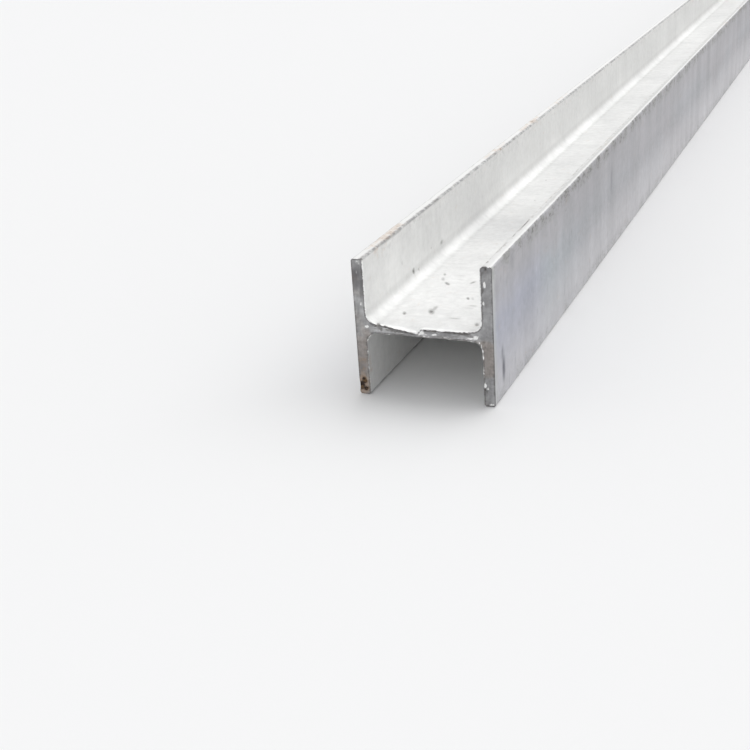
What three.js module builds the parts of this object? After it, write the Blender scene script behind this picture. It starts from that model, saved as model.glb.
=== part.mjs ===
// Hot-rolled wide-flange steel beam, section H 100 x 100 x 6 x 8, cut to a 6 m stock length.
//
// Millimetres. The beam lies at rest with its web level and its two flanges upright, so it
// stands on the lower toes of both flanges. The origin is at the bottom centre of its box:
// +X runs across the web from flange to flange, +Y along the beam, +Z up.

import * as THREE from 'three';

// ---------- the rolled section ----------
const sectionDepth = 100; // over the outer faces of the two flanges
const flangeWidth = 100; // from toe to toe of one flange
const webThickness = 6;
const flangeThickness = 8;
const rootRadius = 8; // the hollow fillet where web and flange meet
const toeRadius = 1.5; // the rounded arrises of a rolled flange toe

// ---------- the cut length ----------
const beamLength = 6000;

// ---------- smoothness ----------
const arcSteps = 8; // straight steps in each quarter turn
const stepsPerSegment = 2; // an extruded shape draws two steps of an arc per curve segment

const halfTurn = Math.PI;
const quarterTurn = Math.PI / 2;

const rolledSteel = new THREE.MeshStandardMaterial({
  name: 'rolled_steel',
  color: new THREE.Color(0.64, 0.64, 0.65),
  roughness: 0.48,
  metalness: 0.9,
});

// The arcs of the section's upper right quarter, with x across the flanges and y up from the
// middle of the web. They run from the flange's outer face over its toe, down the inner face
// and round the root fillet to the web. Straight lines join one arc to the next.
function quarterArcs() {
  const outerFace = sectionDepth / 2;
  const innerFace = outerFace - flangeThickness;
  const toeCentreY = flangeWidth / 2 - toeRadius;
  return [
    { x: outerFace - toeRadius, y: toeCentreY, radius: toeRadius, from: 0, to: quarterTurn },
    { x: innerFace + toeRadius, y: toeCentreY, radius: toeRadius, from: quarterTurn, to: halfTurn },
    {
      x: innerFace - rootRadius,
      y: webThickness / 2 + rootRadius,
      radius: rootRadius,
      from: 0,
      to: -quarterTurn,
    },
  ];
}

// The same arc on the left of the section, drawn the other way along.
function mirrored({ x, y, radius, from, to }) {
  return { x: -x, y, radius, from: halfTurn - to, to: halfTurn - from };
}

// The same arc with the section turned upside down.
function turnedOver({ x, y, radius, from, to }) {
  return { x: -x, y: -y, radius, from: from + halfTurn, to: to + halfTurn };
}

// The whole outline of the section, counter-clockwise from the right flange's outer face.
function sectionOutline() {
  const quarter = quarterArcs();
  const upperHalf = [...quarter, ...quarter.map(mirrored).reverse()];
  const outline = new THREE.Shape();
  for (const arc of [...upperHalf, ...upperHalf.map(turnedOver)]) {
    outline.absarc(arc.x, arc.y, arc.radius, arc.from, arc.to, arc.to < arc.from);
  }
  return outline;
}

// One rolled solid: the section drawn out along the beam. The extrusion is made along its own
// +Z, then turned so that it runs along Y with the section upright.
function rolledBeam() {
  const shape = new THREE.ExtrudeGeometry(sectionOutline(), {
    depth: beamLength,
    steps: 1,
    curveSegments: arcSteps / stepsPerSegment,
    bevelEnabled: false,
  });
  const beam = new THREE.Mesh(shape, rolledSteel);
  beam.name = 'rolled_beam';
  beam.rotation.x = quarterTurn;
  beam.position.set(0, beamLength / 2, flangeWidth / 2);
  return beam;
}

const steelBeam = new THREE.Group();
steelBeam.name = 'steel_i_beam';
steelBeam.add(rolledBeam());

export default steelBeam;
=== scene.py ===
"""Looks of a hot-rolled wide-flange steel beam, lying with its web level.

The beam is one closed mesh, drawn round the rolled section and along its length, with the
marks that rolling, sawing and handling leave. Metres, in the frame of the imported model:
+X across the web, +Y along the beam, +Z up, the floor at z = 0.
"""

import math
import random

import bmesh
import bpy
from mathutils import Matrix, Vector, noise


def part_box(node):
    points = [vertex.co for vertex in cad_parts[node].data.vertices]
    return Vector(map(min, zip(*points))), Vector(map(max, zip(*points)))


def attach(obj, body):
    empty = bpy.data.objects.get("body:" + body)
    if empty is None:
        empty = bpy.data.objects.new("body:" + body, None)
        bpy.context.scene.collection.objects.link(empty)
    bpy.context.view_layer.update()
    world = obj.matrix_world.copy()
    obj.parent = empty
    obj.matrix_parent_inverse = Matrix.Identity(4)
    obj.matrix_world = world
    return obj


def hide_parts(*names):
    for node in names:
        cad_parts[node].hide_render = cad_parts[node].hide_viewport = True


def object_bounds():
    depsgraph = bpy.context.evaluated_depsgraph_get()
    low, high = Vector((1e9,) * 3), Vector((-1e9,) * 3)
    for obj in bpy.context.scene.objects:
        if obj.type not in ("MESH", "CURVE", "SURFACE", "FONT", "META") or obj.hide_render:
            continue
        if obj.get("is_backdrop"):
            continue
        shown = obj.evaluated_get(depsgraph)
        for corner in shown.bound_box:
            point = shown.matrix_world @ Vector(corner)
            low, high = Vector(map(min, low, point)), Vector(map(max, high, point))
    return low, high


MM = 0.001

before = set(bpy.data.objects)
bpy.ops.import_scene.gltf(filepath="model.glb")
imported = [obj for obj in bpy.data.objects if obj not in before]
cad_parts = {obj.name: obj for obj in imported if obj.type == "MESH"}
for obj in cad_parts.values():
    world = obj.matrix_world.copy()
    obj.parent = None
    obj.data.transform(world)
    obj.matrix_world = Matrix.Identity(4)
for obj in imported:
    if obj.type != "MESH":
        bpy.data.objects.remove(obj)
cad_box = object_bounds()

# ---------------------------------------------------------------- sizes
# The overall sizes come from the frame, the rolled section's own sizes from its standard.
LOW, HIGH = (Vector(corner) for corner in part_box("rolled_beam"))
LENGTH = HIGH.y - LOW.y
MID_Z = (LOW.z + HIGH.z) / 2
WEB_THICKNESS = 6 * MM
FLANGE_THICKNESS = 8 * MM
ROOT_RADIUS = 8 * MM
TOE_RADIUS = 1.5 * MM

OUTER_X = (HIGH.x - LOW.x) / 2
INNER_X = OUTER_X - FLANGE_THICKNESS
ROOT_X = INNER_X - ROOT_RADIUS
HALF_WIDTH = (HIGH.z - LOW.z) / 2
HALF_WEB = WEB_THICKNESS / 2
ROOT_Z = HALF_WEB + ROOT_RADIUS

# ---------------------------------------------------------------- mesh fineness
TOE_STEPS = 3
TOE_STRIP = 1.3 * MM  # a narrow row beside each toe, for the marks there
FACE_STEPS = 9
ROOT_STEPS = 5
WEB_STEPS = 20
THROUGH_WEB_STEPS = 3
THROUGH_FLANGE_STEPS = 4
TIE = 1e-6  # points closer than this are one point

# From each end inwards: how far a stretch reaches, and how long its steps are.
END_STRETCHES = (
    (2 * MM, 0.4 * MM),
    (6 * MM, 1 * MM),
    (60 * MM, 2 * MM),
    (150 * MM, 3 * MM),
    (400 * MM, 6 * MM),
    (1000 * MM, 20 * MM),
)
MIDDLE_STEP = 80 * MM


# ================================ the section
def flange_rows():
    """Pairs of outer and inner points up the right flange, toe to toe, about the web's middle."""
    lower = []
    toe_z = TOE_RADIUS - HALF_WIDTH
    for step in range(TOE_STEPS + 1):
        turn = math.pi / 2 * step / TOE_STEPS
        out, down = TOE_RADIUS * math.sin(turn), TOE_RADIUS * math.cos(turn)
        outer = (OUTER_X - TOE_RADIUS + out, toe_z - down)
        inner = (INNER_X + TOE_RADIUS - out, toe_z - down)
        lower.append((outer, inner))
    face_zs = [toe_z + (-ROOT_Z - toe_z) * step / FACE_STEPS for step in range(1, FACE_STEPS + 1)]
    for z in [toe_z + TOE_STRIP, *face_zs]:
        lower.append(((OUTER_X, z), (INNER_X, z)))
    for step in range(1, ROOT_STEPS + 1):
        turn = math.pi / 2 * step / ROOT_STEPS
        outer = (OUTER_X, -ROOT_Z + ROOT_RADIUS * step / ROOT_STEPS)
        inner = (ROOT_X + ROOT_RADIUS * math.cos(turn), -ROOT_Z + ROOT_RADIUS * math.sin(turn))
        lower.append((outer, inner))
    middle = []
    for step in range(1, THROUGH_WEB_STEPS):
        z = -HALF_WEB + WEB_THICKNESS * step / THROUGH_WEB_STEPS
        middle.append(((OUTER_X, z), (ROOT_X, z)))
    upper = [((ox, -oz), (ix, -iz)) for (ox, oz), (ix, iz) in reversed(lower)]
    return lower + middle + upper


def section_grid():
    """The section as quads: its points, its quads (counter-clockwise seen along +Y) and the
    ring of points round its outline, in order."""
    points, index = [], {}

    def point(x, z):
        key = (round(x / TIE), round(z / TIE))
        if key not in index:
            index[key] = len(points)
            points.append((x, z))
        return index[key]

    def quads(rows):
        for low, high in zip(rows, rows[1:]):
            for left in range(len(low) - 1):
                yield low[left], low[left + 1], high[left + 1], high[left]

    faces = []
    for side in (-1, 1):
        rows = []
        for outer, inner in flange_rows():
            row = []
            for step in range(THROUGH_FLANGE_STEPS + 1):
                part = step / THROUGH_FLANGE_STEPS
                x = outer[0] + (inner[0] - outer[0]) * part
                z = outer[1] + (inner[1] - outer[1]) * part
                row.append(point(side * x, z))
            rows.append(row[::-side])
        faces += quads(rows)
    rows = []
    for up in range(THROUGH_WEB_STEPS + 1):
        z = -HALF_WEB + WEB_THICKNESS * up / THROUGH_WEB_STEPS
        xs = [ROOT_X * (2 * step / WEB_STEPS - 1) for step in range(WEB_STEPS + 1)]
        rows.append([point(x, z) for x in xs])
    faces += quads(rows)

    follows = {}
    for face in faces:
        for a, b in zip(face, face[1:] + face[:1]):
            follows[a, b] = True
    after = {a: b for a, b in follows if (b, a) not in follows}
    ring = [next(iter(after))]
    while after[ring[-1]] != ring[0]:
        ring.append(after[ring[-1]])
    return points, faces, ring


def stations():
    """Places along the beam where the section is drawn, from the near end to the far one."""
    half = [0.0]
    for reach, step in END_STRETCHES:
        count = max(1, round((reach - half[-1]) / step))
        start = half[-1]
        half += [start + (reach - start) * (n + 1) / count for n in range(count)]
    gap = LENGTH - 2 * half[-1]
    count = round(gap / MIDDLE_STEP)
    middle = [half[-1] + gap * (n + 1) / count for n in range(count - 1)]
    return half + middle + [LENGTH - d for d in reversed(half)]


# ================================ marks on the steel
# Places are in millimetres: across from the beam's middle, along from its near end, and up.

# Pits of the near end's stretch: place, half width and half length, how far each runs askew
# (across per length), and depth.
WEB_TOP = (MID_Z + HALF_WEB - LOW.z) / MM
WEB_UNDER = (MID_Z - HALF_WEB - LOW.z) / MM
PITS = [
    ((-23.9, 112.9, WEB_TOP), (1.5, 4.0), -0.35, 0.24),
    ((-21.5, 102.2, WEB_TOP), (2.2, 5.6), -0.35, 0.16),
    ((-14.9, 93.0, WEB_TOP), (2.5, 4.8), -0.6, 0.38),
    ((-10.6, 112.2, WEB_TOP), (4.6, 2.4), 0.0, 0.07),
    ((-7.6, 103.3, WEB_TOP), (4.6, 2.2), 0.0, 0.07),
    ((3.1, 99.4, WEB_TOP), (2.3, 5.2), 0.2, 0.24),
    ((10.5, 65.1, WEB_TOP), (1.7, 4.2), -0.35, 0.30),
    ((14.1, 65.0, WEB_TOP), (1.6, 4.4), -0.35, 0.12),
    ((-6.2, 34.2, WEB_TOP), (3.3, 7.8), -0.35, 0.34),
    ((-5.9, 40.4, WEB_TOP), (2.4, 7.6), -0.05, 0.22),
    ((-23.8, 26.8, WEB_TOP), (2.0, 4.8), -0.35, 0.30),
    ((18.6, 51.0, WEB_TOP), (4.6, 2.0), 0.0, 0.14),
    ((17.0, 46.0, WEB_TOP), (6.0, 2.0), 0.0, 0.07),
    ((14.0, 24.4, WEB_TOP), (6.5, 1.8), 0.0, 0.16),
    ((33.0, 16.3, WEB_TOP), (2.2, 4.4), -0.35, 0.30),
    ((-33.2, 1.4, WEB_TOP), (1.8, 3.8), -0.35, 0.90),
    ((-42.0, 95.1, 60.3), (3.2, 3.6), 0.0, 0.36),
    ((-42.0, 104.7, 58.2), (2.0, 2.4), 0.0, 0.16),
    ((-42.0, 159.0, 63.3), (2.4, 4.6), 0.0, 0.26),
    ((42.6, 11.0, 100.0), (1.6, 2.8), 0.0, 0.36),
    ((50.0, 5.4, 98.4), (1.4, 2.0), 0.0, 0.20),
]

# Knocks on the flange toes near that end: place, half length, depth.
NICKS = [
    ((42.4, 100, 100), 16, 0.9),
    ((42.2, 72, 100), 6, 0.6),
    ((50.0, 80, 100), 5, 0.14),
    ((50.0, 148, 100), 7, 0.18),
    ((50.0, 171, 100), 5, 0.14),
    ((44.0, 1, 100), 3, 0.8),
    ((-43.2, 1, 100), 3.5, 0.9),
    ((-42.2, 57, 100), 24, 0.25),
    ((-42.2, 152, 100), 8, 0.5),
    ((-42.2, 38, 100), 5, 0.4),
]

# Rust: the middle of each patch, how far it reaches each way, and how strong it is.
RUST_PATCHES = [
    ((-46.4, 1, 10.4), (4.6, 9, 5.6), 1.0),
    ((-48.4, 1, 6.4), (5.4, 9, 7.4), 1.0),
    ((-45.4, 1, 4.2), (4.2, 9, 4.2), 1.0),
    ((-47, 1, 8), (7, 9, 14), 0.72),
    ((-46, 3, 18), (8, 6, 26), 0.46),
    ((-47, 60, 100), (7, 54, 7), 0.52),
    ((-42, 34, 96), (3, 18, 9), 0.24),
    ((-46, 430, 100), (5, 60, 9), 0.50),
]

# Dark stains and painted shadows, given as the rust is: saw burns on the near end, smears
# outside the flanges, painted shadow in thin lines under the toes' inner edges and under the
# web's cut edge, and a soft band of painted shade across the beam further along.
STAINS_AND_SHADOWS = [
    ((-47, 0, 89), (9, 2, 9), 0.9),
    ((-47, 0, 83), (9, 2, 8), 0.8),
    ((-43.5, 0, 82), (3, 2, 17), 0.8),
    ((46, 0, 97), (9, 2, 6), 0.7),
    ((46, 0, 80), (9, 2, 34), 0.38),
    ((46, 0, 36), (11, 2, 60), 0.28),
    ((-46, 0, 24), (10, 2, 34), 0.42),
    # Painted shadow: a dark line on the cut face just under the web's upper edge.
    ((12, 0, 51), (24, 2, 2.2), 0.5),
    ((50, 18.5, 33), (4, 4, 9), 0.6),
    ((50, 20.5, 21), (4, 5, 15), 1.0),
    ((50, 118, 62), (4, 1.6, 22), 0.35),
    ((50, 46, 90), (4, 9, 9), 0.25),
    # Painted shadow: thin dark lines under the inner edges of the right toe (these two) and of the
    # left toe (the next two).
    ((42, 102, 99), (2.5, 15, 2.5), 0.9),
    ((42, 83, 99), (2.5, 4, 2.5), 0.6),
    ((-42, 46, 98.7), (2.2, 12, 1.5), 0.2),
    ((-42, 67, 98.7), (2.2, 14, 1.5), 0.35),
    # Painted shade: a soft band across the whole beam, some 180 to 300 mm from the near end.
    ((0, 242, 56), (90, 58, 60), 0.14),
    ((50, 10, 82), (4, 10, 12), 0.18),
]

# Marks on the near end's cut face: place, reach across and up, and how much is torn up (+)
# or gouged out (-), where 1 is the whole recess of the cut face.
CUT_MARKS = [
    ((37.2, 49.6), (2.4, 2.2), 1.0),
    ((44.4, 87.3), (1.3, 3.2), 0.9),
    # Painted shadow under the torn bit above, cut in as a gouge.
    ((43.3, 83.0), (1.6, 2.4), -0.7),
    ((43.4, 74.4), (1.0, 2.2), 0.8),
    # Painted shadow beside the torn bit above, cut in as a gouge.
    ((45.2, 73.4), (1.4, 1.8), -0.5),
    ((43.0, 15.4), (1.5, 3.2), 1.0),
    ((44.8, 13.2), (1.4, 1.8), 0.5),
    ((42.2, 36.5), (0.9, 5.5), 0.6),
    ((42.3, 25.0), (0.9, 12.0), 0.3),
    ((-42.2, 26.0), (1.0, 20.0), 0.3),
    ((47.4, 100.0), (1.5, 1.0), 0.8),
    ((-45.2, 98.2), (3.0, 2.6), 0.3),
    ((-44.2, 96.8), (1.4, 1.8), 0.4),
    ((-46.3, 90.5), (1.1, 3.6), 0.24),
    ((47.0, 1.6), (3.0, 1.0), 0.8),
    ((-44.6, 67.7), (1.0, 1.8), 0.7),
    ((-41.4, 51.2), (2.4, 1.5), 0.9),
    ((8.0, 49.6), (2.4, 1.6), 0.9),
    ((-1.6, 50.6), (3.4, 2.6), 1.0),
    ((-26.5, 51.2), (4.5, 1.0), 0.8),
    ((-18.0, 49.6), (9.0, 0.9), 0.6),
    ((2.0, 47.9), (5.0, 0.8), 0.5),
    ((16.0, 48.0), (8.0, 0.8), 0.5),
    ((39.8, 46.2), (1.0, 1.8), 0.6),
    ((41.2, 43.8), (0.9, 2.2), 0.6),
    ((41.9, 40.6), (0.8, 2.6), 0.55),
    ((42.4, 46.6), (1.6, 1.7), -0.8),
    ((43.4, 43.0), (1.3, 2.0), -0.6),
    ((42.6, 12.2), (1.1, 1.2), -1.0),
    ((43.9, 10.6), (1.2, 1.2), -0.9),
    ((-32.8, 52.0), (1.9, 2.8), -1.0),
    ((-31.0, 50.2), (1.7, 2.0), -1.0),
    ((-35.9, 52.6), (1.7, 0.9), -0.6),
    ((-43.0, 90.5), (1.0, 3.4), -0.55),
    ((-46.8, 86.5), (0.9, 2.4), -0.4),
    # Painted shadow just under the right flange's top, cut in as a gouge.
    ((45.3, 98.4), (1.0, 1.9), -1.0),
    ((43.4, 95.6), (1.3, 1.4), -0.6),
    ((-45.2, 9.5), (2.0, 2.2), -1.0),
    ((-43.6, 4.8), (1.8, 1.6), -0.9),
]

END_ZONE = (8, 400)  # the stretch at each end that gets the scattered pits and knocks
NEAR_END_SHARE = 0.6  # of those pits and knocks
SCATTER_SEED = 21
SCATTERED_PITS = 70
SCATTERED_NICKS = 56
SCATTERED_RUST = 46
SCATTERED_STAINS = 60


def at(x, along, height):
    """A place on the beam, from millimetres across, along from the near end, and up."""
    return Vector((x * MM, LOW.y + along * MM, LOW.z + height * MM))


def bell(share):
    """1 in the middle of a mark, easing to 0 at its edge."""
    return (1 - share * share) ** 2 if abs(share) < 1 else 0.0


def place_near_an_end(chance):
    """A place along the beam, close to one of its ends."""
    along = chance.uniform(*END_ZONE)
    return along if chance.random() < NEAR_END_SHARE else LENGTH / MM - along


def scattered_pits(chance):
    """Small pits on every face, at the ends' stretches."""
    for _ in range(SCATTERED_PITS):
        along = place_near_an_end(chance)
        face = chance.choice(("web top", "web underside", "inner", "inner", "outer"))
        side = chance.choice((-1, 1))
        if face == "web top":
            place = (side * chance.uniform(0, ROOT_X / MM), along, WEB_TOP)
        elif face == "web underside":
            place = (side * chance.uniform(0, ROOT_X / MM), along, WEB_UNDER)
        else:
            x = (OUTER_X if face == "outer" else INNER_X) / MM
            height = chance.uniform(6, 36) + chance.choice((0, 58))
            place = (side * x, along, height)
        half_width = chance.uniform(0.5, 1.1)
        half_length = half_width * chance.uniform(1.0, 2.6)
        yield place, (half_width, half_length), 0.0, chance.uniform(0.12, 0.3)


def scattered_nicks(chance):
    """Small knocks on all the flange toes, at the ends' stretches."""
    for _ in range(SCATTERED_NICKS):
        edge = chance.choice((OUTER_X, INNER_X))
        x = chance.choice((-1, 1)) * edge / MM
        height = chance.choice((0, 2 * HALF_WIDTH / MM))
        place = (x, place_near_an_end(chance), height)
        deepest = 0.25 if edge == OUTER_X else 0.5
        yield place, chance.uniform(3, 9), chance.uniform(0.1, deepest)


def scattered_rust(chance):
    """Faint blooms of rust along the flange toes."""
    for _ in range(SCATTERED_RUST):
        along = chance.uniform(150, LENGTH / MM - 20)
        x = chance.choice((-1, 1)) * chance.uniform(42, 50)
        height = chance.choice((0, 2 * HALF_WIDTH / MM))
        reach = (7, chance.uniform(12, 70), chance.uniform(3, 12))
        yield (x, along, height), reach, chance.uniform(0.15, 0.4)


def scattered_stains(chance):
    """Smears down the outside of the flanges."""
    for _ in range(SCATTERED_STAINS):
        x = chance.choice((-50, 50))
        place = (x, chance.uniform(200, LENGTH / MM), chance.uniform(15, 85))
        yield place, (4, chance.uniform(2, 7), chance.uniform(8, 22)), chance.uniform(0.2, 0.6)


class Near:
    """Marks sorted by their place along the beam, so that those near a point are found fast."""

    CELL = 20 * MM

    def __init__(self, marks):
        """Each mark starts with its middle and its reach along the beam."""
        self.cells = {}
        for mark in marks:
            middle, reach = mark[:2]
            first = math.floor((middle.y - reach) / self.CELL)
            last = math.floor((middle.y + reach) / self.CELL)
            for cell in range(first, last + 1):
                self.cells.setdefault(cell, []).append(mark)

    def __call__(self, y):
        return self.cells.get(math.floor(y / self.CELL), ())


def patches(marks):
    """Rust, or stains and painted shadows, sorted."""
    return Near(
        (at(*place), reach[1] * MM, Vector(reach) * MM, power) for place, reach, power in marks
    )


PIT_MARGIN = 2.4 * MM  # how far round a pit or a knock the mesh is made finer
chance = random.Random(SCATTER_SEED)
pits_near = Near(
    (at(*place), length * MM + PIT_MARGIN, width * MM, length * MM, askew, depth * MM)
    for place, (width, length), askew, depth in [*PITS, *scattered_pits(chance)]
)
nicks_near = Near(
    (at(*place), half_length * MM + PIT_MARGIN, half_length * MM, depth * MM)
    for place, half_length, depth in [*NICKS, *scattered_nicks(chance)]
)
rust_near = patches([*RUST_PATCHES, *scattered_rust(chance)])
stain_and_shadow_near = patches([*STAINS_AND_SHADOWS, *scattered_stains(chance)])


# ================================ relief
WAVE = 0.14 * MM  # slow waviness left by the rolls
RIPPLE = 0.04 * MM
TOE_WANDER = 0.6 * MM  # how far the height of a flange toe wanders
TOE_REACH = 5 * MM
NICK_REACH = 2.4 * MM
FULL_PIT = 0.4 * MM  # pits and knocks as deep as this hold as much dirt as any
FULL_NICK = 0.6 * MM
CUT_RECESS = 0.5 * MM  # the sawn face lies this far in, and only burrs reach the full length
SAW_RIDGE = 0.14 * MM
BURR_HEIGHT = 1.2 * MM
BURR_REACH = 2.2 * MM
END_RUB = 9 * MM  # how far from the ends the skin is rubbed bright
LOWER_BURR = 0.45  # the burr under the web, as a share of the one on top
RIM_REACH = 1.6 * MM  # how far in from its outline the cut face is rubbed
# The saw rolled the web's upper edge down between these places across, more and more.
FOLD_STARTS = -32 * MM
FOLD_STOPS = -5 * MM
FOLD_RECOVERS = 3.4 * MM
FOLD_REACH = 9 * MM  # along from the near end
DEEPEST_FOLD = 0.8
ROLLED_EDGE = 0.16
EDGE_REACH = 3.6 * MM
SEAM = 0.9 * MM
SEAM_BEGINS = 4 * MM
GOUGE = 0.9 * MM
CORROSION = 2 * MM
EATEN = 0.4  # rust stronger than this has eaten into the steel
EATEN_REACH = 12 * MM  # from an end


def noise_at(*place):
    """Smooth noise from 0 to 1. Each coordinate is in cells of it: metres times the cells in
    a metre, or a bare number that gives the pattern a lane of its own."""
    return 0.5 + 0.5 * noise.noise(Vector(place))


def clamped(value):
    """The value, kept between 0 and 1."""
    return max(0.0, min(1.0, value))


def outward(point):
    """The direction out of the steel at a point on the section's outline."""
    z = point.z - MID_Z
    across, rise = abs(point.x), abs(z)
    toe_z = HALF_WIDTH - TOE_RADIUS
    if rise > toe_z + TIE:
        if across > OUTER_X - TOE_RADIUS:
            slope = (across - OUTER_X + TOE_RADIUS, rise - toe_z)
        elif across < INNER_X + TOE_RADIUS:
            slope = (across - INNER_X - TOE_RADIUS, rise - toe_z)
        else:
            slope = (0, 1)
    elif across > OUTER_X - TIE:
        slope = (1, 0)
    elif across > INNER_X - TIE and rise > ROOT_Z - TIE:
        slope = (-1, 0)
    elif across > ROOT_X + TIE:
        slope = (ROOT_X - across, ROOT_Z - rise)
    else:
        slope = (0, 1)
    return Vector((math.copysign(slope[0], slope[0] * point.x), 0, math.copysign(slope[1], z)))


def steel_above(point):
    """How deep a point of the section lies under the section's outline."""
    across, rise = abs(point.x), abs(point.z - MID_Z)
    if across < ROOT_X:
        return HALF_WEB - rise
    if rise < ROOT_Z:
        root = math.hypot(across - ROOT_X, rise - ROOT_Z) - ROOT_RADIUS
        return min(OUTER_X - across, root)
    return min(OUTER_X - across, across - INNER_X, HALF_WIDTH - rise)


def pit_at(point):
    """How deep the pits are here."""
    depth = 0.0
    for middle, _, half_width, half_length, askew, full in pits_near(point.y):
        gap = point - middle
        across = math.hypot(gap.x - askew * gap.y, gap.z) / half_width
        depth = max(depth, full * bell(math.hypot(across, gap.y / half_length)))
    return depth


def nick_at(point):
    """How deep the knocks on the toes are here."""
    depth = 0.0
    for middle, _, half_length, full in nicks_near(point.y):
        across = math.hypot(point.x - middle.x, point.z - middle.z) / NICK_REACH
        depth = max(depth, full * bell(across) * bell((point.y - middle.y) / half_length))
    return depth


def patch_at(patches_near, point):
    """How strong the patches of rust, or of stains and painted shadows, are here, from 0 to 1."""
    strength = 0.0
    for middle, _, reach, power in patches_near(point.y):
        gap = point - middle
        away = math.sqrt(sum((gap[axis] / reach[axis]) ** 2 for axis in range(3)))
        strength = max(strength, power * bell(away))
    return strength


def cut_mark_at(point):
    """The torn-up (+) or gouged (-) share of the near end's cut face here."""
    torn = 0.0
    ragged = 0.55 + 0.9 * noise_at(point.x * 700, point.z * 700, 41)
    for (x, height), (reach_x, reach_z), raised in CUT_MARKS:
        across = (point.x - x * MM) / (reach_x * MM)
        up = (point.z - LOW.z - height * MM) / (reach_z * MM)
        share = raised * bell(math.hypot(across, up) * ragged)
        torn = share if abs(share) > abs(torn) else torn
    return torn


def burr_at(point, end_gap):
    """The burr that the saw left round the near end's troughs, as a share of its full height."""
    if point.y > LOW.y + BURR_REACH or abs(point.x) > INNER_X + TIE:
        return 0.0
    fine = noise_at(point.x * 420, -3, point.z * 420)
    broad = noise_at(point.x * 110, 17, point.z * 110)
    ragged = clamped(2.2 * fine * broad + 0.5 * broad - 0.2)
    height = 1.0 if point.z > MID_Z else LOWER_BURR
    return ragged * height * bell(end_gap / BURR_REACH)


def fold_at(point, end_gap):
    """How far down the web's upper edge is rolled at the near end, as a share of the web."""
    if abs(point.z - MID_Z) > HALF_WEB + TIE or not FOLD_STARTS < point.x < ROOT_X:
        return 0.0
    share = (point.x - FOLD_STARTS) / (FOLD_STOPS - FOLD_STARTS)
    past = clamped((point.x - FOLD_STOPS) / FOLD_RECOVERS)
    folded = DEEPEST_FOLD * share * max(0.0, 1 - end_gap / FOLD_REACH) ** 2
    rolled = ROLLED_EDGE * (0.6 + 0.8 * noise_at(point.x * 120, 7, 0))
    rolled *= min(1.0, (ROOT_X - point.x) / EDGE_REACH) * max(0.0, 1 - end_gap / EDGE_REACH) ** 2
    return folded * (1 - past) + rolled * past


def seam_at(point):
    """The dark seam under the web's upper edge, on the near end's cut face, as a share."""
    drop = MID_Z + HALF_WEB - point.z
    if abs(point.x) > ROOT_X or drop < -TIE or drop > WEB_THICKNESS + TIE:
        return 0.0
    quick = noise_at(point.x * 420, 13, 0)
    begins = clamped((point.x - FOLD_STARTS) / SEAM_BEGINS)
    breaks = min(1.0, abs(point.x - FOLD_STOPS - 0.5 * FOLD_RECOVERS) / FOLD_RECOVERS)
    under = drop * (1 - fold_at(point, 0.0))
    dark = clamped(2.4 * quick - 0.5)
    return begins * breaks ** 2 * dark * bell((under - 0.6 * SEAM) / SEAM)


def toe_wander(point):
    """How much lower the flange toe is here than its full height."""
    lane = math.copysign(5, point.x) + math.copysign(9, point.z - MID_Z)
    slow = noise_at(lane, point.y * 30, 0)
    quick = noise_at(lane, point.y * 110, 4)
    return TOE_WANDER * (0.6 * slow + 0.4 * quick)


def surface_relief(point, end_gap):
    """How far a point of the long surfaces moves, and the masks that colour it."""
    out = outward(point).normalized()
    wave = noise_at(point.x * 22, point.y * 11, point.z * 22)
    ripple = noise_at(point.x * 90, point.y * 50, point.z * 90)
    pit_depth = pit_at(point)
    nick = nick_at(point)
    rust = patch_at(rust_near, point)
    burr = burr_at(point, end_gap)
    toe = max(0.0, 1 - (HALF_WIDTH - abs(point.z - MID_Z)) / TOE_REACH)
    sunk = WAVE * wave + RIPPLE * ripple + pit_depth + nick - BURR_HEIGHT * burr
    if rust > EATEN and end_gap < EATEN_REACH:
        rough = noise_at(point.x * 400, point.y * 400, point.z * 400)
        sunk += CORROSION * (rust - EATEN) * rough
    shift = -out * sunk
    shift.z -= math.copysign(toe_wander(point) * toe, point.z - MID_Z)
    outer = 1.0 if abs(point.x) > OUTER_X - TIE else 0.0
    masks = {
        "pit": min(1.0, max(pit_depth / FULL_PIT, nick / FULL_NICK)),
        "toe": toe,
        "rust": rust,
        "burr": burr,
        "outer": outer,
        "stain": patch_at(stain_and_shadow_near, point),
        "rim": bell(end_gap / END_RUB),
    }
    return shift, masks


def cut_relief(point, burr, near_end):
    """How far a point of a cut face lies in from the full length, and its own masks."""
    side = 2 if near_end else -2
    ridge = noise_at(point.x * 40, point.z * 700, 3)
    sweep = noise_at(point.x * 30, point.z * 30, 11 + side)
    lump = noise_at(point.x * 260, point.z * 260, 17 + side)
    mark = cut_mark_at(point) if near_end else 0.0
    torn = max(burr, mark)
    gouged = max(-mark, seam_at(point) * (1 - mark) if near_end else 0.0)
    rust = patch_at(rust_near, point)
    inset = CUT_RECESS * (0.6 + 0.4 * sweep) + SAW_RIDGE * (ridge + lump - 1)
    inset = inset * (1 - torn) + GOUGE * gouged
    if rust > EATEN:
        inset += CORROSION * (rust - EATEN) * lump
    masks = {
        "pit": gouged,
        "rust": rust,
        "burr": torn,
        "stain": patch_at(stain_and_shadow_near, point),
        "rim": max(0.0, 1 - steel_above(point) / RIM_REACH),
    }
    return inset, masks


# ================================ the beam's mesh
# The stain mask holds painted shadows as well as stains.
MASKS = ("pit", "toe", "rust", "burr", "outer", "stain", "rim")
SKIN, CUT = 0, 1  # material slots
PIT_CUTS = 5
NICK_CUTS = 3
END_CUTS = 3
SHORT_EDGE = 1.2 * MM  # shorter edges need no more cuts
SHARP_ANGLE = math.radians(40)


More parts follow.
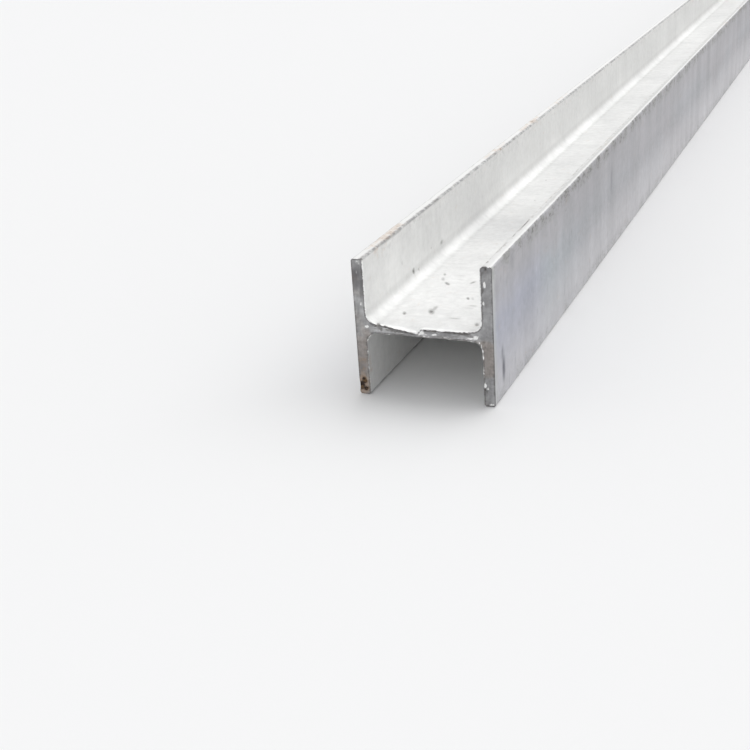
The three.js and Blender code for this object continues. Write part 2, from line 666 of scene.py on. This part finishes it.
def plain_beam():
    """The beam with flat faces: the section at every station, and a cut face at each end."""
    points, quads, ring = section_grid()
    places = stations()
    vertices, faces, slots, levels = [], [], [], []
    for number, along in enumerate(places):
        is_end = number in (0, len(places) - 1)
        level = {}
        for index in range(len(points)) if is_end else ring:
            x, z = points[index]
            level[index] = len(vertices)
            vertices.append((x, LOW.y + along, MID_Z + z))
        levels.append(level)
    for near, far in zip(levels, levels[1:]):
        for a, b in zip(ring, ring[1:] + ring[:1]):
            faces.append((near[a], far[a], far[b], near[b]))
            slots.append(SKIN)
    for quad in quads:
        faces.append([levels[0][index] for index in quad])
        faces.append([levels[-1][index] for index in reversed(quad)])
        slots += [CUT, CUT]
    return vertices, faces, slots


def gap_to_end(y):
    """How far it is to the nearer end."""
    return min(y - LOW.y, HIGH.y - y)


def close_to(marks, place, width):
    """Whether a place is near one of the marks, given half the mark's width."""
    for mark in marks(place.y):
        middle, reach = mark[:2]
        across = math.hypot(place.x - middle.x, place.z - middle.z)
        if across < width(mark) + PIT_MARGIN and abs(place.y - middle.y) < reach:
            return True
    return False


def make_finer(mesh):
    """Cuts the faces finer round the pits and knocks, and at the near end's burr."""
    at_ends, round_pits, along_nicks = [], [], []
    for edge in mesh.edges:
        a, b = (vertex.co for vertex in edge.verts)
        middle = (a + b) / 2
        runs_along = abs(a.y - b.y) > TIE
        if middle.y < LOW.y + BURR_REACH:
            if not runs_along and edge.calc_length() > SHORT_EDGE:
                at_ends.append(edge)
        elif close_to(pits_near, middle, lambda pit: pit[2] + abs(pit[4]) * pit[3]):
            round_pits.append(edge)
        elif runs_along and close_to(nicks_near, middle, lambda nick: NICK_REACH):
            along_nicks.append(edge)
    for edges, cuts in ((at_ends, END_CUTS), (round_pits, PIT_CUTS), (along_nicks, NICK_CUTS)):
        bmesh.ops.subdivide_edges(mesh, edges=edges, cuts=cuts, use_grid_fill=True)
    many_sided = [face for face in mesh.faces if len(face.verts) > 4]
    bmesh.ops.triangulate(mesh, faces=many_sided)


def add_relief(mesh):
    """Moves every point of the plain beam by its relief, and stores the masks on it."""
    layers = {name: mesh.verts.layers.float.new(name) for name in MASKS}
    for vertex in mesh.verts:
        point = vertex.co.copy()
        slots = {face.material_index for face in vertex.link_faces}
        end_gap = gap_to_end(point.y)
        near_end = point.y < (LOW.y + HIGH.y) / 2
        shift, masks = Vector(), {}
        if SKIN in slots:
            shift, masks = surface_relief(point, end_gap)
        if CUT in slots:
            inset, cut_masks = cut_relief(point, masks.get("burr", 0.0), near_end)
            shift.y += inset if near_end else -inset
            masks = {name: max(masks.get(name, 0.0), cut_masks.get(name, 0.0)) for name in MASKS}
        if near_end:
            part = 0.5 + (point.z - MID_Z) / WEB_THICKNESS
            shift.z -= WEB_THICKNESS * part * fold_at(point, end_gap)
        vertex.co = point + shift
        for name, value in masks.items():
            vertex[layers[name]] = value


def build_beam():
    """The whole beam as one closed mesh object."""
    vertices, faces, slots = plain_beam()
    data = bpy.data.meshes.new("rolled_beam_steel")
    data.from_pydata(vertices, [], faces)
    data.polygons.foreach_set("material_index", slots)
    mesh = bmesh.new()
    mesh.from_mesh(data)
    make_finer(mesh)
    add_relief(mesh)
    for face in mesh.faces:
        face.smooth = True
    mesh.to_mesh(data)
    mesh.free()
    data.set_sharp_from_angle(angle=SHARP_ANGLE)
    beam = bpy.data.objects.new("rolled_beam_steel", data)
    bpy.context.scene.collection.objects.link(beam)
    return beam


# ================================ shader nodes
def colour(red, green, blue):
    """A colour socket's value for a colour as it shows on a screen, each part 0 to 255."""
    parts = [part / 255 for part in (red, green, blue)]
    linear = [((p + 0.055) / 1.055) ** 2.4 if p > 0.04045 else p / 12.92 for p in parts]
    return (*linear, 1.0)


WEB_SCALE = colour(235, 235, 234)
INNER_SCALE = colour(239, 239, 238)  # on the flanges' inner faces
ROOT_SCALE = colour(230, 230, 229)
ROOT_HIGHLIGHT = colour(238, 238, 237)  # painted highlight along the curve of the roots
INNER_CUT_EDGE = colour(250, 250, 249)
OUTER_SCALE = colour(179, 178, 181)
OUTER_BLUES = (colour(178, 180, 190), colour(183, 188, 193))  # near the end, and further along
# Painted light reflected from below, on the lower part of the outer faces.
OUTER_LIGHT_FROM_BELOW = colour(206, 205, 207)
OUTER_CUT_EDGE = colour(200, 202, 199)
# Smears outside the flanges, and the colour of painted shadow under the toes and across the beam.
SMEAR_AND_SHADOW = colour(106, 106, 114)
WORN = colour(150, 151, 146)
CHAFED = colour(112, 110, 108)
RUBBED = (colour(224, 224, 223), colour(204, 202, 200))  # the metal, and the specks left on it
LEFT_TOE = colour(236, 236, 235)
RIGHT_TOE_NEAR = (colour(225, 225, 224), colour(232, 232, 231))  # its top and its outer corner
RIGHT_TOE_FAR = (colour(209, 209, 208), colour(227, 227, 226))
TOE_CORNER_GREY = colour(156, 155, 156)
SAWN = (colour(170, 170, 171), colour(172, 165, 160))  # plain and warm
# Saw burns, and the painted shadow under the web's cut edge.
SAW_BURN_AND_SHADOW = colour(106, 105, 107)
SAWN_RIM = colour(108, 106, 106)
BARE_METAL = colour(248, 248, 247)
PIT_DIRT_AND_SHADOW = colour(112, 109, 106)
RUST_STAINS = (colour(200, 162, 122), colour(128, 104, 84), colour(92, 70, 56))  # faint to strong
RUST_SCABS = (colour(48, 33, 25), colour(116, 92, 64))  # their hollows and their crust


class Net:
    """Adds nodes to a tree."""

    def __init__(self, tree):
        self.tree = tree

    def put(self, socket, value):
        """Gives a socket its value, or a link from another socket."""
        if isinstance(value, bpy.types.NodeSocket):
            self.tree.links.new(value, socket)
        else:
            socket.default_value = value

    def add(self, kind, inputs, **settings):
        """A new node. Settings come first, as some of them change its inputs."""
        node = self.tree.nodes.new(kind)
        for name, value in settings.items():
            setattr(node, name, value)
        for name, value in inputs.items():
            self.put(node.inputs[name], value)
        return node

    def group(self, tree, **inputs):
        """The outputs of one more use of a node group."""
        return self.add("ShaderNodeGroup", inputs, node_tree=tree).outputs

    def math(self, operation, a, b):
        return self.add("ShaderNodeMath", {0: a, 1: b}, operation=operation).outputs[0]

    def times(self, first, *others):
        """The product of two numbers or more."""
        for other in others:
            first = self.math("MULTIPLY", first, other)
        return first

    def size(self, value):
        """A number without its sign."""
        return self.add("ShaderNodeMath", {0: value}, operation="ABSOLUTE").outputs[0]

    def stretch(self, place, x, y, z):
        """The place with its axes scaled, to stretch a pattern."""
        inputs = {0: place, 1: (x, y, z)}
        return self.add("ShaderNodeVectorMath", inputs, operation="MULTIPLY").outputs[0]

    def noise(self, place, size, detail=3.0, roughness=0.5):
        """Smooth noise round 0.5, with blotches of a size in metres."""
        inputs = {"Vector": place, "Scale": 1 / size, "Detail": detail, "Roughness": roughness}
        return self.add("ShaderNodeTexNoise", inputs).outputs["Fac"]

    def between(self, value, low, high, at_low=0.0, at_high=1.0):
        """Eases from at_low, where the value is low or less, to at_high."""
        inputs = {0: value, 1: low, 2: high, 3: at_low, 4: at_high}
        node = self.add("ShaderNodeMapRange", inputs, interpolation_type="SMOOTHSTEP")
        return node.outputs[0]

    def blend(self, share, a, b, kind="MIX"):
        """Colour a turning into colour b, by a share."""
        node = self.add("ShaderNodeMix", {0: share, 6: a, 7: b}, data_type="RGBA", blend_type=kind)
        return node.outputs[2]

    def tinted(self, shade, base):
        """A colour made lighter or darker by a shade round 1."""
        grey = self.add("ShaderNodeCombineColor", {0: shade, 1: shade, 2: shade}).outputs[0]
        return self.blend(1.0, base, grey, "MULTIPLY")

    def mask(self, name):
        """One of the masks stored on the mesh."""
        return self.add("ShaderNodeAttribute", {}, attribute_name=name).outputs["Fac"]


FLOAT, VECTOR, COLOR = "NodeSocketFloat", "NodeSocketVector", "NodeSocketColor"


def new_group(name, inputs, outputs):
    """An empty node group with its sockets, its net, its inputs and its output node."""
    tree = bpy.data.node_groups.new(name, "ShaderNodeTree")
    for label, kind in inputs.items():
        tree.interface.new_socket(label, in_out="INPUT", socket_type=kind)
    for label, kind in outputs.items():
        tree.interface.new_socket(label, in_out="OUTPUT", socket_type=kind)
    net = Net(tree)
    entry = net.add("NodeGroupInput", {}).outputs
    leave = net.add("NodeGroupOutput", {}).inputs
    return tree, net, entry, leave


def make_scale_clouds():
    """Cloudy variation of the scale on rolled steel, broad and fine, round 1."""
    tree, net, entry, leave = new_group(
        "scale_clouds", {"Place": VECTOR, "Strength": FLOAT}, {"Shade": FLOAT, "Tint": FLOAT}
    )
    place = entry["Place"]
    broad = net.noise(net.stretch(place, 1, 0.5, 1), 60 * MM, 4)
    fine = net.noise(place, 7 * MM, 5, 0.7)
    both = net.math("ADD", net.times(broad, 0.5), net.times(fine, 0.5))
    swing = net.times(net.math("SUBTRACT", both, 0.5), entry["Strength"])
    net.put(leave["Shade"], net.math("ADD", swing, 1.0))
    tint = net.noise(net.stretch(place, 1, 0.6, 1), 85 * MM, 3)
    net.put(leave["Tint"], net.between(tint, 0.42, 0.62))
    return tree


def make_roll_bands():
    """Soft bands across the faces, as the rolls and the water running down leave them."""
    tree, net, entry, leave = new_group(
        "roll_bands",
        {"Place": VECTOR, "Strength": FLOAT, "Fine": FLOAT},
        {"Shade": FLOAT, "Smear": FLOAT},
    )
    place = entry["Place"]
    wide = net.noise(net.stretch(place, 0.10, 1, 0.10), 26 * MM, 3)
    narrow = net.noise(net.stretch(place, 0.14, 1, 0.14), 5 * MM, 3, 0.6)
    both = net.add("ShaderNodeMix", {0: entry["Fine"], 2: wide, 3: narrow}).outputs[0]
    swing = net.times(net.math("SUBTRACT", both, 0.5), entry["Strength"])
    net.put(leave["Shade"], net.math("ADD", swing, 1.0))
    smear = net.noise(net.stretch(place, 0.2, 1, 0.2), 5 * MM, 2)
    net.put(leave["Smear"], net.between(smear, 0.62, 0.76))
    return tree


def make_rust():
    """Rust where its mask is strong: stains at first, then dark brown scabs."""
    tree, net, entry, leave = new_group(
        "rust",
        {"Place": VECTOR, "Mask": FLOAT, "Base": COLOR},
        {"Colour": COLOR, "Share": FLOAT, "Height": FLOAT},
    )
    place, mask = entry["Place"], entry["Mask"]
    breakup = net.noise(net.stretch(place, 1, 0.6, 1), 6 * MM, 6, 0.7)
    reach = net.math("ADD", mask, net.times(net.math("SUBTRACT", breakup, 0.5), 1.5))
    stain = net.between(reach, 0.1, 0.9, 0.0, 0.8)
    faint, middling, strong = RUST_STAINS
    tone = net.blend(net.between(reach, 0.3, 0.8), faint, middling)
    tone = net.blend(net.between(mask, 0.6, 0.95), tone, strong)
    stained = net.blend(stain, entry["Base"], tone)
    scab = net.times(net.between(reach, 0.6, 0.9), net.between(mask, 0.3, 0.7))
    depth = net.noise(place, 2.4 * MM, 4, 0.6)
    crust = net.blend(net.between(depth, 0.46, 0.62), *RUST_SCABS)
    net.put(leave["Colour"], net.blend(scab, stained, crust))
    net.put(leave["Share"], net.math("MAXIMUM", scab, net.times(stain, 0.6)))
    net.put(leave["Height"], net.times(scab, depth))
    return tree


def make_dark_pits():
    """Dirt held in pits, knocks and gouges, and painted shadow in three gouges of the near end's
    cut face.
    """
    tree, net, entry, leave = new_group(
        "dark_pits", {"Place": VECTOR, "Mask": FLOAT, "Base": COLOR}, {"Colour": COLOR}
    )
    breakup = net.noise(entry["Place"], 2 * MM, 4, 0.6)
    share = net.times(entry["Mask"], net.between(breakup, 0.3, 0.6, 0.6, 1.0))
    net.put(leave["Colour"], net.blend(share, entry["Base"], PIT_DIRT_AND_SHADOW))
    return tree


def make_bright_edges():
    """Bare metal where the saw tore it up."""
    tree, net, entry, leave = new_group(
        "bright_edges", {"Place": VECTOR, "Torn": FLOAT, "Base": COLOR}, {"Colour": COLOR}
    )
    fine = net.noise(entry["Place"], 1.4 * MM, 3, 0.6)
    ragged = net.times(entry["Torn"], net.between(fine, 0.3, 0.7, 0.5, 1.3))
    torn = net.between(ragged, 0.12, 0.5)
    net.put(leave["Colour"], net.blend(torn, entry["Base"], BARE_METAL))
    return tree


def make_grain():
    """The fine grain of the surface, as a height."""
    tree, net, entry, leave = new_group(
        "steel_grain", {"Place": VECTOR, "Size": FLOAT}, {"Height": FLOAT}
    )
    scale = net.math("DIVIDE", 1.0, entry["Size"])
    inputs = {"Vector": entry["Place"], "Scale": scale, "Detail": 6.0, "Roughness": 0.65}
    net.put(leave["Height"], net.add("ShaderNodeTexNoise", inputs).outputs["Fac"])
    return tree


scale_clouds = make_scale_clouds()
roll_bands = make_roll_bands()
rust = make_rust()
dark_pits = make_dark_pits()
bright_edges = make_bright_edges()
steel_grain = make_grain()


# ================================ materials
RUSTED = 0.8  # this share of rust hides the metal's gloss
BUMP_STRENGTH = 0.6
# Where the tones change, from one place to another: millimetres from the near end, ...
INNER_PALES = (15, 60)
CHAFING_GROWS = (10, 70)
WEB_DEEPENS = (60, 150)
TONE_TURNS = (90, 150)
BLUE_FADES = (120, 300)
WEB_GREYS = (120, 320)
# ... and up.
BLUE_RISES = (90, 55)
LIGHT_FROM_BELOW_GROWS = (60, 8)
LEFT_WARMS = (75, 20)
RIGHT_WARMS = (16, 24)
RIGHT_COOLS = (50, 42)


class Finish(Net):
    """The nodes of a new material, round one shader."""

    def __init__(self, name):
        self.material = bpy.data.materials.new(name)
        self.material.use_nodes = True
        self.material.node_tree.nodes.clear()
        super().__init__(self.material.node_tree)
        shader = self.add("ShaderNodeBsdfPrincipled", {})
        self.add("ShaderNodeOutputMaterial", {"Surface": shader.outputs[0]})
        self.shader = shader.inputs

    def set(self, name, value):
        """Sets or links one of the shader's inputs."""
        self.put(self.shader[name], value)


class Steel(Finish):
    """A finish of the beam, with sockets that say where a point of it lies: across and rise
    are its distances from the beam's middle."""

    def __init__(self, name):
        super().__init__(name)
        self.place = self.add("ShaderNodeTexCoord", {}).outputs["Object"]
        parts = self.add("ShaderNodeSeparateXYZ", {0: self.place}).outputs
        self.x, self.y, self.height = parts["X"], parts["Y"], parts["Z"]
        self.across = self.size(self.x)
        self.rise = self.size(self.math("SUBTRACT", self.height, MID_Z))

    def along(self, stretch, at_start=0.0, at_stop=1.0):
        """Eases along a stretch of the beam."""
        start, stop = (LOW.y + place * MM for place in stretch)
        return self.between(self.y, start, stop, at_start, at_stop)

    def up(self, stretch, at_start=0.0, at_stop=1.0):
        """Eases from one height to another."""
        start, stop = (place * MM for place in stretch)
        return self.between(self.height, start, stop, at_start, at_stop)

    def weathered(self, torn, pits, base):
        """Sets the colour: bare metal, dirt and rust over a base. Gives the rust's share and
        height."""
        bright = self.group(bright_edges, Place=self.place, Torn=torn, Base=base)
        pitted = self.group(dark_pits, Place=self.place, Mask=pits, Base=bright["Colour"])
        mask = self.mask("rust")
        rusty = self.group(rust, Place=self.place, Mask=mask, Base=pitted["Colour"])
        self.set("Base Color", rusty["Colour"])
        return rusty["Share"], rusty["Height"]

    def roughen(self, relief, distance):
        """Lets a height bump the surface."""
        inputs = {"Strength": BUMP_STRENGTH, "Distance": distance, "Height": relief}
        self.set("Normal", self.add("ShaderNodeBump", inputs).outputs[0])


def inside_scale(net, root, off_web):
    """The pale scale of the web and the flanges' inner faces, with a painted highlight in the
    roots.
    """
    on_flange = net.between(net.rise, ROOT_Z, 1.3 * ROOT_Z)
    tone = net.blend(net.times(net.along(INNER_PALES), on_flange), WEB_SCALE, INNER_SCALE)
    tone = net.blend(root, tone, ROOT_SCALE)
    # Painted highlight along each root's curve, off the web.
    root_highlight_band = net.between(net.rise, ROOT_Z - 0.2 * ROOT_RADIUS, ROOT_Z - 0.7 * ROOT_RADIUS)
    tone = net.blend(net.times(root_highlight_band, off_web), tone, ROOT_HIGHLIGHT)
    by_web = net.between(net.rise, ROOT_Z, HALF_WEB)
    cut_edge = net.times(net.between(net.mask("rim"), 0.55, 0.9), by_web)
    return net.blend(cut_edge, tone, INNER_CUT_EDGE)


def outside_scale(net, tint):
    """The darker scale outside the flanges: bluish in places, and paler low down with painted
    light from below.
    """
    tint = net.times(net.up(BLUE_RISES), tint, net.along(BLUE_FADES, 1.0, 0.25))
    tone = net.blend(tint, OUTER_SCALE, net.blend(net.along(TONE_TURNS), *OUTER_BLUES))
    # Painted light reflected from below, growing towards the floor.
    tone = net.blend(net.up(LIGHT_FROM_BELOW_GROWS, 0.0, 0.75), tone, OUTER_LIGHT_FROM_BELOW)
    return net.blend(net.times(net.mask("rim"), 0.6), tone, OUTER_CUT_EDGE)


def mottled_web(net, off_web, base):
    """Blotches on the web, deeper to the right and further along as painted shade, where it is
    greyer too.
    """
    # Painted shade: the blotches deepen towards the web's right side.
    deepest = net.times(net.along(WEB_DEEPENS), net.between(net.x, -10 * MM, 25 * MM))
    deepest = net.between(deepest, 0, 1, 0.972, 0.935)
    mottle = net.between(net.noise(net.place, 5 * MM, 4, 0.65), 0.35, 0.65, deepest, 1.018)
    by_web = net.between(net.rise, ROOT_Z, HALF_WEB)
    base = net.blend(by_web, base, net.tinted(mottle, base))
    on_web = net.math("SUBTRACT", 1.0, off_web)
    return net.blend(on_web, base, net.tinted(net.along(WEB_GREYS, 1.0, 0.935), base))


def chafed_flanges(net, outer, specks, base):
    """Worn patches and dark scuffs on the flanges' faces, close to the toes."""
    near_toe = net.between(net.rise, HALF_WIDTH - 14 * MM, HALF_WIDTH - 3 * MM)
    near_toe = net.times(near_toe, net.between(net.height, 0, MID_Z, 0.3, 1.0))
    patchy = net.between(net.noise(net.place, 16 * MM, 2), 0.44, 0.58)
    base = net.blend(net.times(near_toe, outer, patchy, 0.5), base, WORN)
    chafed = net.times(near_toe, net.between(outer, 0, 1, 0.15, 0.65))
    chafed = net.times(chafed, net.along(CHAFING_GROWS, 0.4, 1.0))
    chafed = net.times(chafed, net.between(patchy, 0, 1, 0.35, 1.0))
    return net.blend(net.times(chafed, specks), base, CHAFED)


def rubbed_toes(net, wobble, specks, base):
    """The toes rubbed to bare metal, and darker along the left one's inner corner."""
    ragged = net.math("ADD", net.across, net.times(wobble, 3 * MM))
    corner = net.between(ragged, OUTER_X - 3.4 * MM, OUTER_X - 2.4 * MM)
    near, far = net.blend(corner, *RIGHT_TOE_NEAR), net.blend(corner, *RIGHT_TOE_FAR)
    right_toe = net.blend(net.along(TONE_TURNS), near, far)
    bare_toe = net.blend(net.between(net.x, 0, INNER_X), LEFT_TOE, right_toe)
    bare = net.between(ragged, INNER_X + 2.2 * MM, INNER_X + 3.4 * MM)
    rubbed = net.blend(bare, net.blend(specks, *RUBBED), bare_toe)
    toe = net.mask("toe")
    crown = net.between(ragged, OUTER_X - 1.8 * MM, OUTER_X - 0.7 * MM, 1.0, 0.0)
    base = net.blend(net.times(crown, net.math("POWER", toe, 5.0)), base, rubbed)
    # Darker along the left toe's inner corner.
    dark_corner = net.between(ragged, INNER_X + 2.2 * MM, INNER_X + 1.2 * MM)
    dark_corner = net.times(dark_corner, net.between(toe, 0.6, 0.9), net.between(net.x, 0, -INNER_X))
    dark_corner = net.times(dark_corner, net.between(wobble, -0.12, 0.12, 1.0, 0.35))
    return net.blend(dark_corner, base, TOE_CORNER_GREY)


def make_rolled_steel():
    """The long surfaces: pale grey scale, darker outside the flanges, rubbed at the toes."""
    net = Steel("rolled_steel")
    outer = net.between(net.across, OUTER_X - TOE_RADIUS, OUTER_X - 0.5 * TOE_RADIUS)
    outer = net.math("MAXIMUM", outer, net.mask("outer"))
    root = net.between(net.across, ROOT_X - 0.6 * ROOT_RADIUS, ROOT_X)
    root = net.times(root, net.between(net.rise, 1.3 * ROOT_Z, 0.8 * ROOT_Z))
    wobble = net.math("SUBTRACT", net.noise(net.place, 4 * MM, 3, 0.6), 0.5)
    frayed = net.math("ADD", net.across, net.times(wobble, 8 * MM))
    off_web = net.between(frayed, ROOT_X - 0.2 * ROOT_RADIUS, ROOT_X + 0.3 * ROOT_RADIUS)
    specks = net.noise(net.stretch(net.place, 1, 0.5, 1), 2.4 * MM, 4, 0.6)
    specks = net.between(specks, 0.48, 0.6)
    clouds = net.group(scale_clouds, Place=net.place, Strength=0.45)
    swing, fine = net.between(outer, 0, 1, 0.22, 0.46), net.between(outer, 0, 1, 0.35, 0.22)
    bands = net.group(roll_bands, Place=net.place, Strength=swing, Fine=fine)

    inside = inside_scale(net, root, off_web)
    base = net.blend(outer, inside, outside_scale(net, clouds["Tint"]))
    base = net.tinted(bands["Shade"], net.tinted(clouds["Shade"], base))
    base = mottled_web(net, off_web, base)
    smear = net.times(bands["Smear"], outer, 0.25)
    # The stain mask brings in painted shadows too, under the toes' inner edges and across the
    # beam.
    base = net.blend(net.math("MAXIMUM", smear, net.mask("stain")), base, SMEAR_AND_SHADOW)
    base = chafed_flanges(net, outer, specks, base)
    base = rubbed_toes(net, wobble, specks, base)
    rusty, crust = net.weathered(net.mask("burr"), net.mask("pit"), base)

    net.set("Metallic", net.between(rusty, 0, RUSTED, 0.7, 0.05))
    dull = net.math("ADD", net.between(rusty, 0, RUSTED, 0.66, 0.8), net.times(root, 0.05))
    spread = net.times(net.math("SUBTRACT", clouds["Shade"], 1.0), -0.8)
    net.set("Roughness", net.math("ADD", dull, spread))

    grain = net.group(steel_grain, Place=net.place, Size=3 * MM)["Height"]
    net.roughen(net.math("ADD", grain, net.times(crust, 3.0)), 0.25 * MM)
    return net.material


def make_sawn_end():
    """The cut faces: grey sawn steel, streaked along each wall and burnt dark in places."""
    net = Steel("sawn_end")
    on_flange = net.between(net.across, ROOT_X, INNER_X)
    clouds = net.group(scale_clouds, Place=net.place, Strength=1.1)
    left_low = net.times(net.up(LEFT_WARMS, 0.05, 0.36), net.between(net.x, 0, -INNER_X))
    right_belt = net.times(net.up(RIGHT_WARMS), net.up(RIGHT_COOLS))
    right_belt = net.times(right_belt, net.between(net.x, 0, INNER_X, 0.0, 0.3))
    warm = net.math("MAXIMUM", left_low, right_belt)
    warm = net.math("ADD", net.noise(net.place, 22 * MM, 3), warm)
    warm = net.times(net.between(warm, 0.56, 0.78), on_flange)
    base = net.tinted(clouds["Shade"], net.blend(warm, *SAWN))

    level = net.noise(net.stretch(net.place, 0.1, 1, 1), 1.8 * MM, 4, 0.65)
    upright = net.noise(net.stretch(net.place, 1, 1, 0.12), 2.2 * MM, 4, 0.65)
    streaks = net.add("ShaderNodeMix", {0: on_flange, 2: level, 3: upright}).outputs[0]
    mottle = net.noise(net.place, 3.2 * MM, 3, 0.6)
    base = net.tinted(net.between(streaks, 0.3, 0.7, 0.88, 1.1), base)
    base = net.tinted(net.between(mottle, 0.3, 0.7, 0.86, 1.16), base)
    base = net.tinted(net.between(on_flange, 0, 1, 1.14, 1.0), base)
    # Saw burns, and the painted shadow under the web's upper edge.
    base = net.blend(net.mask("stain"), base, SAW_BURN_AND_SHADOW)
    edge = net.times(net.mask("rim"), net.between(mottle, 0.35, 0.55, 1.2, 0.6))
    base = net.blend(net.between(edge, 0.1, 0.6, 0.0, 0.7), base, SAWN_RIM)

    high = net.between(net.height, MID_Z - HALF_WEB, MID_Z + HALF_WEB, 0.6, 1.0)
    on_web = net.times(net.between(on_flange, 0.3, 0.0), high)
    torn = net.times(net.between(level, 0.56, 0.66), on_web)
    seam = net.times(net.between(level, 0.46, 0.38), on_web)
    torn = net.math("MAXIMUM", torn, net.mask("burr"))
    rusty, crust = net.weathered(torn, net.math("MAXIMUM", seam, net.mask("pit")), base)

    net.set("Metallic", net.between(rusty, 0, RUSTED, 0.75, 0.05))
    net.set("Roughness", net.between(rusty, 0, RUSTED, 0.5, 0.85))

    grain = net.group(steel_grain, Place=net.place, Size=1.2 * MM)["Height"]
    relief = net.math("ADD", grain, net.times(streaks, 2.0))
    net.roughen(net.math("ADD", relief, net.times(crust, 4.0)), 0.18 * MM)
    return net.material


beam = build_beam()
beam.data.materials.append(make_rolled_steel())
beam.data.materials.append(make_sawn_end())
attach(beam, "root")
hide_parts("rolled_beam")


# ================================ floor and light
FLOOR_RADIUS = 250
FLOOR_SIDES = 96
FLOOR_COLOUR = colour(242, 242, 242)
HORIZON = colour(250, 250, 250)
SKY_FRONT = colour(196, 197, 199)
SKY_BACK = colour(255, 255, 255)
SKY_STARTS = math.sin(math.radians(3))
SKY_FULL = math.sin(math.radians(22))
KEY_HEADING = math.radians(30)  # from +Y, towards +X
KEY_HEIGHT = math.radians(53)
KEY_SPREAD = math.radians(64)
KEY_STRENGTH = 1.02


def make_floor():
    """A wide plain floor, so that its edge lies at the horizon in every view."""
    mesh = bmesh.new()
    bmesh.ops.create_circle(mesh, cap_ends=True, segments=FLOOR_SIDES, radius=FLOOR_RADIUS)
    data = bpy.data.meshes.new("floor")
    mesh.to_mesh(data)
    mesh.free()
    net = Finish("pale_floor")
    net.set("Base Color", FLOOR_COLOUR)
    net.set("Roughness", 0.9)
    net.set("Specular IOR Level", 0.1)
    data.materials.append(net.material)
    floor = bpy.data.objects.new("floor", data)
    bpy.context.scene.collection.objects.link(floor)
    floor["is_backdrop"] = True


def make_world():
    """A pale surround: as bright as the floor at the horizon, and higher up brighter behind
    the beam than in front of it."""
    world = bpy.data.worlds.new("surround")
    world.use_nodes = True
    world.node_tree.nodes.clear()
    net = Net(world.node_tree)
    direction = net.add("ShaderNodeTexCoord", {}).outputs["Generated"]
    parts = net.add("ShaderNodeSeparateXYZ", {0: direction}).outputs
    sky = net.blend(net.between(parts["Y"], -1, 1), SKY_FRONT, SKY_BACK)
    shade = net.blend(net.between(parts["Z"], SKY_STARTS, SKY_FULL), HORIZON, sky)
    light = net.add("ShaderNodeBackground", {"Color": shade, "Strength": 1.0})
    net.add("ShaderNodeOutputWorld", {"Surface": light.outputs[0]})
    bpy.context.scene.world = world


def make_key():
    """One wide soft lamp, high behind the beam."""
    data = bpy.data.lights.new("key", "SUN")
    data.energy = KEY_STRENGTH
    data.angle = KEY_SPREAD
    key = bpy.data.objects.new("key", data)
    level = math.cos(KEY_HEIGHT)
    x, y = math.sin(KEY_HEADING) * level, math.cos(KEY_HEADING) * level
    towards = Vector((x, y, math.sin(KEY_HEIGHT)))
    key.rotation_mode = "QUATERNION"
    key.rotation_quaternion = towards.to_track_quat("Z", "Y")
    bpy.context.scene.collection.objects.link(key)


# ================================ camera
CAMERA_PLACE = (286.3, -733.6, 354.4)  # across, along from the near end, and up
CAMERA_AIM = (-37.7, 0.0, 15.4)
CAMERA_ROLL = math.radians(4.05)
CAMERA_LENS = 59.73
CAMERA_SENSOR = 36


def make_camera():
    """A long lens, in front of the near end and above it."""
    data = bpy.data.cameras.new("camera")
    data.sensor_width = CAMERA_SENSOR
    data.lens = CAMERA_LENS
    camera = bpy.data.objects.new("camera", data)
    camera.location = at(*CAMERA_PLACE)
    back = (camera.location - at(*CAMERA_AIM)).normalized()
    level = Vector((0, 0, 1)).cross(back).normalized()
    raised = back.cross(level)
    right = level * math.cos(CAMERA_ROLL) - raised * math.sin(CAMERA_ROLL)
    up = raised * math.cos(CAMERA_ROLL) + level * math.sin(CAMERA_ROLL)
    camera.rotation_mode = "QUATERNION"
    camera.rotation_quaternion = Matrix((right, up, back)).transposed().to_quaternion()
    bpy.context.scene.collection.objects.link(camera)
    bpy.context.scene.camera = camera


make_floor()
make_world()
make_key()
make_camera()
bpy.context.scene.view_settings.view_transform = "Standard"

boxes = {"cad": cad_box, "visual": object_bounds()}
{name: [list(corner) for corner in box] for name, box in boxes.items()}
